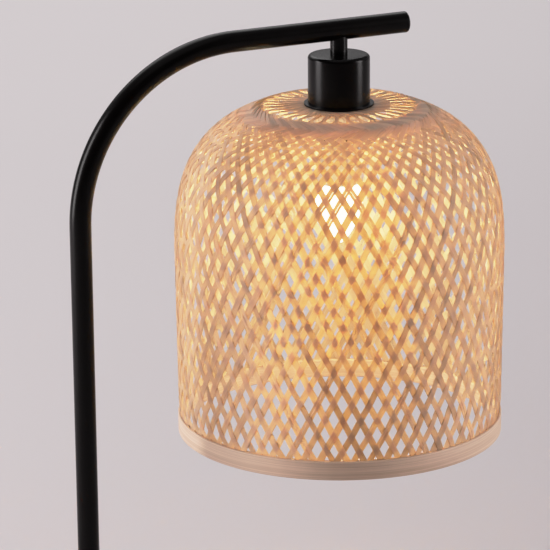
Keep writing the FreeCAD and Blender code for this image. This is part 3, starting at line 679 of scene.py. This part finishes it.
def build_tube(material):
    """The bent tube: up from the base, round the bend and along the arm, with its wall."""
    foot = tube_low.z
    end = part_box("arm_end_cap")[1].x - END_CAP
    bend_x, bend_z = POLE_X + BEND_RADIUS, ARM_LEVEL - BEND_RADIUS
    spine = [(POLE_X, foot, 0.0)]
    for step in range(BEND_STEPS + 1):
        tilt = math.pi / 2 * step / BEND_STEPS
        spine.append((bend_x - BEND_RADIUS * math.cos(tilt), bend_z + BEND_RADIUS * math.sin(tilt), tilt))
    spine.append((end, ARM_LEVEL, math.pi / 2))
    vertices, faces = [], []
    for radius in (TUBE_RADIUS, TUBE_RADIUS - TUBE_WALL):
        for x, z, tilt in spine:
            for side in range(TUBE_SIDES):
                turn = 2 * math.pi * side / TUBE_SIDES
                rise, aside = radius * math.sin(turn), radius * math.cos(turn)
                vertices.append((x - rise * math.cos(tilt), aside, z + rise * math.sin(tilt)))
    rows = len(spine)
    for skin in range(2):
        for row in range(rows - 1):
            for side in range(TUBE_SIDES):
                after = (side + 1) % TUBE_SIDES
                here = (skin * rows + row) * TUBE_SIDES
                there = here + TUBE_SIDES
                quad = (here + side, there + side, there + after, here + after)
                faces.append(quad if skin == 0 else quad[::-1])
    for row in (0, rows - 1):
        for side in range(TUBE_SIDES):
            after = (side + 1) % TUBE_SIDES
            outer, inner = row * TUBE_SIDES, (rows + row) * TUBE_SIDES
            quad = (outer + side, outer + after, inner + after, inner + side)
            faces.append(quad if row == 0 else quad[::-1])
    piece = new_piece("bent_tube", vertices, faces, material, "stand", ("stand_tube",))
    smooth(piece)


def build_arm_parts(metal, plastic):
    """The arm's end cap, the neck that is shaped to the arm, and the socket cup."""
    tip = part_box("arm_end_cap")[1].x
    bore = TUBE_RADIUS - TUBE_WALL
    turn_level("arm_plug", "arm_end_cap", [
        (0, 0), (TUBE_RADIUS, 0, 0.4 * MM), (TUBE_RADIUS, -END_CAP), (bore, -END_CAP), (bore, -6 * MM),
        (bore - 1.2 * MM, -6 * MM), (bore - 1.2 * MM, -END_CAP), (0, -END_CAP),
    ][::-1], (tip, 0, ARM_LEVEL), plastic, "stand")

    low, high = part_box("neck_tube")
    outer, inner = 6.5 * MM, 5 * MM
    ring = [(inner, low.z), (outer, low.z), (outer, high.z), (inner, high.z)]
    vertices, faces = lathe(ring, (HEAD_X, 0), 96)
    vertices = [
        (x, y, z if z < high.z else ARM_LEVEL - math.sqrt(TUBE_RADIUS ** 2 - y * y)) for x, y, z in vertices
    ]
    neck = new_piece("neck", vertices, faces, metal, "stand", ("neck_tube",))
    smooth(neck)

    low, high = cup_low, cup_high
    radius = (high.y - low.y) / 2
    wall, corner, bore = 1.2 * MM, 2.8 * MM, 5.2 * MM
    turn_upright("cup_shell", "socket_cup", [
        (bore, high.z - wall), (radius - wall, high.z - wall, corner - wall), (radius - wall, low.z),
        (radius, low.z), (radius, high.z, corner), (bore, high.z),
    ], metal, "stand", 160)


def build_fitter(metal):
    """The two flat rings that clamp the top of the weave."""
    edge = 0.35 * MM
    for node, name in (("fitter_flange", "clamp_flange"), ("fitter_ring", "clamp_ring")):
        low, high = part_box(node)
        radius = (high.y - low.y) / 2
        turn_upright(name, node, [
            (FITTER_BORE, low.z), (radius, low.z, edge), (radius, high.z, edge), (FITTER_BORE, high.z),
        ], metal, "shade", 160)


def build_base(metal, plastic):
    """The base's cover with its screw bosses, and the cord's inlet."""
    low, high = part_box("base_cover")
    radius = (high.y - low.y) / 2
    wall, corner = 1.5 * MM, 3 * MM
    vertices, faces = lathe(rounded([
        (radius - wall, low.z), (radius, low.z), (radius, high.z, corner), (0, high.z),
        (0, high.z - wall), (radius - wall, high.z - wall, corner - wall),
    ]), (0, 0), 256)
    boss_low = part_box("base_weight")[1].z
    circle = 70 * MM
    for step in range(3):
        turn = 2 * math.pi * step / 3
        place = (circle * math.cos(turn), circle * math.sin(turn))
        ring = [(2 * MM, boss_low), (4 * MM, boss_low), (4 * MM, high.z - wall), (2 * MM, high.z - wall)]
        more, quads = lathe(ring, place, 32)
        faces += [tuple(index + len(vertices) for index in quad) for quad in quads]
        vertices += more
    piece = new_piece("cover_shell", vertices, faces, metal, "stand", ("base_cover",))
    weld(piece)
    smooth(piece)

    low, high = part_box("cord_gland")
    flange = (high.y - low.y) / 2
    bore, body = 3.25 * MM, 5 * MM
    step = 2.5 * MM
    length = high.x - low.x
    turn_level("cord_inlet", "cord_gland", [
        (bore, 0, 0.3 * MM), (flange, 0, 0.5 * MM), (flange, step),
        (body, step), (body, length), (bore, length),
    ], (low.x, 0, (low.z + high.z) / 2), plastic, "stand")


def arc(start, end, radius, bulge):
    """Points of an arc between two (radius, level) points, bulging to one side (1 or -1), with both ends."""
    start, end = Vector(start), Vector(end)
    chord = end - start
    half = chord.length / 2
    sideways = Vector((chord.y, -chord.x)).normalized() * bulge
    middle = (start + end) / 2 - sideways * math.sqrt(radius ** 2 - half ** 2)
    points = []
    for step in range(ARC_STEPS + 1):
        spoke = start.lerp(end, step / ARC_STEPS) - middle
        points.append(tuple(middle + spoke.normalized() * radius))
    return points


def build_bulb_body(plastic, opal):
    """The bulb's flared housing and its candle-shaped cover."""
    low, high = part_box("bulb_diffuser")
    rim = high.z
    bottom = low.z
    belly, belly_level, tip = 18.5 * MM, high.z - 6 * MM, 6 * MM
    wall = 1.4 * MM
    drop = belly_level - bottom - tip
    sweep = (belly ** 2 + drop ** 2 - tip ** 2) / (2 * (belly - tip))
    lean = math.atan2(drop, sweep - belly)
    top = math.asin((rim - belly_level) / sweep)

    def skin(inset):
        side = []
        start = math.asin((rim - belly_level) / (sweep - inset))
        for step in range(BULB_STEPS + 1):
            angle = start + (-lean - start) * step / BULB_STEPS
            reach = sweep - inset
            side.append((belly - sweep + reach * math.cos(angle), belly_level + reach * math.sin(angle)))
        for step in range(1, CORNER_STEPS + 1):
            angle = -lean + (-math.pi / 2 + lean) * step / CORNER_STEPS
            reach = tip - inset
            side.append((max(0.0, reach * math.cos(angle)), bottom + tip + reach * math.sin(angle)))
        return side

    outline = skin(0.0)[::-1] + skin(wall)
    cover = turn_upright("opal_cover", "bulb_diffuser", outline, opal, "bulb", 96)

    low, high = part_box("bulb_housing")
    rim_radius = belly - sweep + sweep * math.cos(top)
    wall = 1.8 * MM
    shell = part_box("bulb_screw_base")
    base_radius, base_level = (shell[1].y - shell[0].y) / 2, shell[0].z
    neck, neck_level, flare = 14 * MM, base_level - 4 * MM, 400 * MM
    inside = base_radius - 0.5 * MM
    outline = [(inside - wall, high.z), (inside - wall, base_level)]
    outline += arc((neck - wall, neck_level), (rim_radius - wall, low.z), flare, 1)
    outline += arc((rim_radius, low.z), (neck, neck_level), flare, -1)
    outline += [(neck, base_level), (inside, base_level), (inside, high.z)]
    turn_upright("bulb_shell", "bulb_housing", outline, plastic, "bulb", 96)
    return cover


# ---------------------------------------------------------------- finishes for the CAD nodes

def coat_finish():
    """Satin black powder coat."""
    material, tree, shader = new_material("satin_black_coat")
    mottle = noise(tree, 60, 3.0)
    grain = noise(tree, 2600, 2.0)
    colour = ramp(tree, mottle, (0.0018, 0.0014, 0.0014), (0.003, 0.0024, 0.0023))
    tree.links.new(colour, shader.inputs["Base Color"])
    tree.links.new(span(tree, mottle, 0.22, 0.28), shader.inputs["Roughness"])
    shader.inputs["Specular IOR Level"].default_value = 0.13
    bump(tree, shader, grain, 0.01 * MM, 0.2)
    return material


def opal_finish():
    """The lit opal cover of the bulb: an even glow, with a faintly mottled colour and gloss."""
    material, tree, shader = new_material("opal_lit")
    mottle = noise(tree, 300, 2.0)
    tree.links.new(ramp(tree, mottle, (0.93, 0.90, 0.84), (0.97, 0.95, 0.90)), shader.inputs["Base Color"])
    tree.links.new(span(tree, mottle, 0.22, 0.30), shader.inputs["Roughness"])
    shader.inputs["Emission Color"].default_value = (1.0, 0.86, 0.66, 1)
    shader.inputs["Emission Strength"].default_value = COVER_STRENGTH
    return material



coat = coat_finish()
bamboo = bamboo_finish(
    "bamboo_strip", (0.80, 0.68, 0.58), (0.95, 0.84, 0.73), "strip", (2.6, 0.05, 1),
    translucent=0.56, glow=(1.0, 0.75, 0.36),
)
hoop_bamboo = bamboo_finish("bamboo_band", (0.74, 0.53, 0.40), (0.87, 0.65, 0.50), "strip", (1.6, 0.012, 1))
black_plastic = simple_finish(
    "moulded_black", (0.010, 0.010, 0.010), (0.016, 0.016, 0.016), (0.42, 0.52), 400, 0.02 * MM, specular=0.4,
)
steel = simple_finish(
    "zinc_steel", (0.50, 0.51, 0.53), (0.64, 0.65, 0.66), (0.28, 0.45), 180, 0.01 * MM,
    metallic=1.0, stretch=(1, 1, 6),
)
nickel = simple_finish(
    "nickel_plate", (0.70, 0.69, 0.66), (0.80, 0.79, 0.76), (0.16, 0.28), 240, 0.01 * MM, metallic=1.0,
)
brass = simple_finish(
    "brass", (0.62, 0.45, 0.20), (0.76, 0.58, 0.28), (0.22, 0.36), 220, 0.01 * MM, metallic=1.0,
)
iron = simple_finish("cast_iron", (0.03, 0.03, 0.032), (0.07, 0.068, 0.066), (0.6, 0.8), 300, 0.15 * MM)
foam = simple_finish("foot_foam", (0.018, 0.018, 0.019), (0.04, 0.04, 0.042), (0.85, 0.95), 900, 0.1 * MM)
ceramic = simple_finish("glazed_core", (0.74, 0.73, 0.69), (0.84, 0.83, 0.79), (0.16, 0.24), 200, 0.01 * MM)
white_plastic = simple_finish(
    "bulb_plastic", (0.82, 0.81, 0.79), (0.88, 0.87, 0.85), (0.3, 0.38), 260, 0.01 * MM,
)
board = simple_finish("board_mask", (0.70, 0.72, 0.69), (0.82, 0.84, 0.80), (0.35, 0.5), 500, 0.02 * MM)
jacket = simple_finish(
    "cord_jacket", (0.012, 0.012, 0.012), (0.022, 0.022, 0.022), (0.5, 0.62), 350, 0.02 * MM,
)
live = simple_finish("live_insulation", (0.16, 0.06, 0.025), (0.22, 0.09, 0.035), (0.4, 0.5), 400, 0.01 * MM)
neutral = simple_finish(
    "neutral_insulation", (0.02, 0.07, 0.32), (0.03, 0.10, 0.40), (0.4, 0.5), 400, 0.01 * MM,
)
opal = opal_finish()

FINISHES = {
    "black_metal": coat,
    "zinc_steel": steel,
    "cast_iron": iron,
    "foot_foam": foam,
    "black_plastic": black_plastic,
    "ceramic": ceramic,
    "brass": brass,
    "cord_jacket": jacket,
    "live_insulation": live,
    "neutral_insulation": neutral,
    "bamboo": hoop_bamboo,
    "bulb_plastic": white_plastic,
    "white_plastic": white_plastic,
    "opal_diffuser": opal,
    "nickel": nickel,
    "circuit_board": board,
}


def finish_nodes():
    """Give each CAD node the finish of its slot."""
    slots = {part["node"]: part["material_slot"] for part in frame["record"]["subparts"]}
    for name, node in frame["nodes"].items():
        node.data.materials.clear()
        node.data.materials.append(FINISHES[slots[name]])


# ---------------------------------------------------------------- camera, floor, world and lights

HEADING = math.radians(26.534)     # from +Y towards +X
PITCH = math.radians(16.457)       # below level
ROLL = math.radians(-0.465)
CAMERA_FROM_TOP = Vector((-0.8828, -2.0827, 0.5054))   # from the arm's level on the pole's axis
LENS = 211.87
SENSOR = 36.0


def build_camera():
    """The camera, above the lamp and to the rear left of its arm."""
    data = bpy.data.cameras.new("camera")
    data.lens = LENS
    data.sensor_width = SENSOR
    data.clip_start = 0.05
    data.clip_end = 60
    camera = bpy.data.objects.new("camera", data)
    bpy.context.scene.collection.objects.link(camera)
    place = Vector((POLE_X, 0, ARM_LEVEL)) + CAMERA_FROM_TOP
    turn = (
        Matrix.Rotation(-HEADING, 4, "Z")
        @ Matrix.Rotation(math.pi / 2 - PITCH, 4, "X")
        @ Matrix.Rotation(ROLL, 4, "Z")
    )
    camera.matrix_world = Matrix.Translation(place) @ turn
    bpy.context.scene.camera = camera


def build_floor():
    """A plain pale floor, large enough to fill the view."""
    material, tree, shader = new_material("floor_paint")
    mottle = noise(tree, 1.2, 2.0)
    colour = ramp(tree, mottle, (0.735, 0.685, 0.70), (0.745, 0.695, 0.71))
    tree.links.new(colour, shader.inputs["Base Color"])
    shader.inputs["Roughness"].default_value = 0.9
    shader.inputs["Specular IOR Level"].default_value = 0.1
    half = 14.0
    mesh = bpy.data.meshes.new("floor")
    corners = [(-half, -half, 0), (half, -half, 0), (half, half, 0), (-half, half, 0)]
    mesh.from_pydata(corners, [], [(0, 1, 2, 3)])
    mesh.materials.append(material)
    floor = bpy.data.objects.new("floor", mesh)
    bpy.context.scene.collection.objects.link(floor)
    return floor


def keep_light_off(source, spared):
    """The source lights everything but the object that is spared."""
    receivers = bpy.data.collections.new("not_lit_by_" + source.name)
    receivers.objects.link(spared)
    receivers.collection_objects[0].light_linking.link_state = "EXCLUDE"
    source.light_linking.receiver_collection = receivers


def build_world():
    """A soft surround: pale beyond the lamp, and dim on the side that the lamp is seen from."""
    world = bpy.data.worlds.new("surround")
    bpy.context.scene.world = world
    world.use_nodes = True
    tree = world.node_tree
    place = add_node(tree, "ShaderNodeTexCoord").outputs["Generated"]
    facing = add_node(tree, "ShaderNodeVectorMath", operation="DOT_PRODUCT")
    facing.inputs[1].default_value = (math.sin(HEADING), math.cos(HEADING), 0.15)
    tree.links.new(place, facing.inputs[0])
    share = add_node(tree, "ShaderNodeMapRange")
    share.inputs["From Min"].default_value = -0.9
    share.inputs["From Max"].default_value = 0.9
    tree.links.new(facing.outputs["Value"], share.inputs["Value"])
    colour = ramp(tree, share.outputs[0], (0.06, 0.057, 0.06), (1.0, 0.96, 0.98), 0.2, 0.95)
    background = tree.nodes["Background"]
    tree.links.new(colour, background.inputs["Color"])
    background.inputs["Strength"].default_value = 0.30


def add_light(name, offset, aim, size, power, colour, spared=None):
    """A soft rectangular light, placed by its offset along the camera's right, ahead and up."""
    ahead = Vector((math.sin(HEADING), math.cos(HEADING), 0))
    right = Vector((math.cos(HEADING), -math.sin(HEADING), 0))
    up = Vector((0, 0, 1))
    data = bpy.data.lights.new(name, "AREA")
    data.shape = "RECTANGLE"
    data.size, data.size_y = size
    data.energy = power
    data.color = colour
    light = bpy.data.objects.new(name, data)
    bpy.context.scene.collection.objects.link(light)
    middle = Vector((HEAD_X, 0, ARM_LEVEL * 0.6))
    light.location = middle + right * offset[0] + ahead * offset[1] + up * offset[2]
    target = middle + right * aim[0] + ahead * aim[1] + up * aim[2]
    light.rotation_mode = "QUATERNION"
    light.rotation_quaternion = (target - light.location).to_track_quat("-Z", "Y")
    if spared:
        keep_light_off(light, spared)


def build_bulb_light(cover, floor):
    """The bulb's light: a soft point inside its cover that moves with it; the cover casts no shadow."""
    low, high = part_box("bulb_diffuser")
    data = bpy.data.lights.new("bulb_light", "POINT")
    data.energy = BULB_POWER
    data.color = (1.0, 0.79, 0.46)
    data.shadow_soft_size = 15 * MM
    light = bpy.data.objects.new("bulb_light", data)
    bpy.context.scene.collection.objects.link(light)
    light.location = (low + high) / 2
    light.parent = cover
    cover.visible_shadow = False
    keep_light_off(light, floor)


def build_lights(floor):
    """Soft boxes left and right, one over the floor beyond, and a weak one over the lamp."""
    add_light("left_box", (-2.3, -0.35, 0.5), (0, 0, 0.3), (0.9, 2.2), 76, (1.0, 0.95, 0.96))
    add_light("right_box", (2.3, -0.3, 0.5), (0, 0, 0.3), (0.7, 2.0), 50, (1.0, 0.94, 0.95), floor)
    add_light("overhead", (-0.4, 2.9, 2.3), (0.1, 2.5, 0), (4.0, 3.0), 71, (1.0, 0.99, 0.99))
    add_light("crown_light", (0, -0.5, 1.6), (0, 0, 0.3), (1.2, 1.2), 1.4, (1.0, 0.93, 0.94), floor)


def soften_highlights():
    """Keep the colour of bright places: a plain view up to the floor's tone, and a soft shoulder above it."""
    view = bpy.context.scene.view_settings
    view.view_transform = "Standard"
    view.look = "None"
    view.use_curve_mapping = True
    mapping = view.curve_mapping
    mapping.white_level = (WHITE_LEVEL, WHITE_LEVEL, WHITE_LEVEL)
    for light, tone in SHOULDER_TONES:
        mapping.curves[3].points.new(light / WHITE_LEVEL, tone)
    mapping.update()


# ---------------------------------------------------------------- build everything

build_camera()
build_world()
floor = build_floor()
build_lights(floor)
finish_nodes()
build_strips(bamboo)
build_hoops(hoop_bamboo)
build_ring(white_plastic)
build_bulb_thread(nickel)
build_tube(coat)
build_arm_parts(coat, black_plastic)
build_fitter(coat)
build_base(coat, black_plastic)
cover = build_bulb_body(white_plastic, opal)
keep_light_off(cover, floor)
build_bulb_light(cover, floor)

soften_highlights()
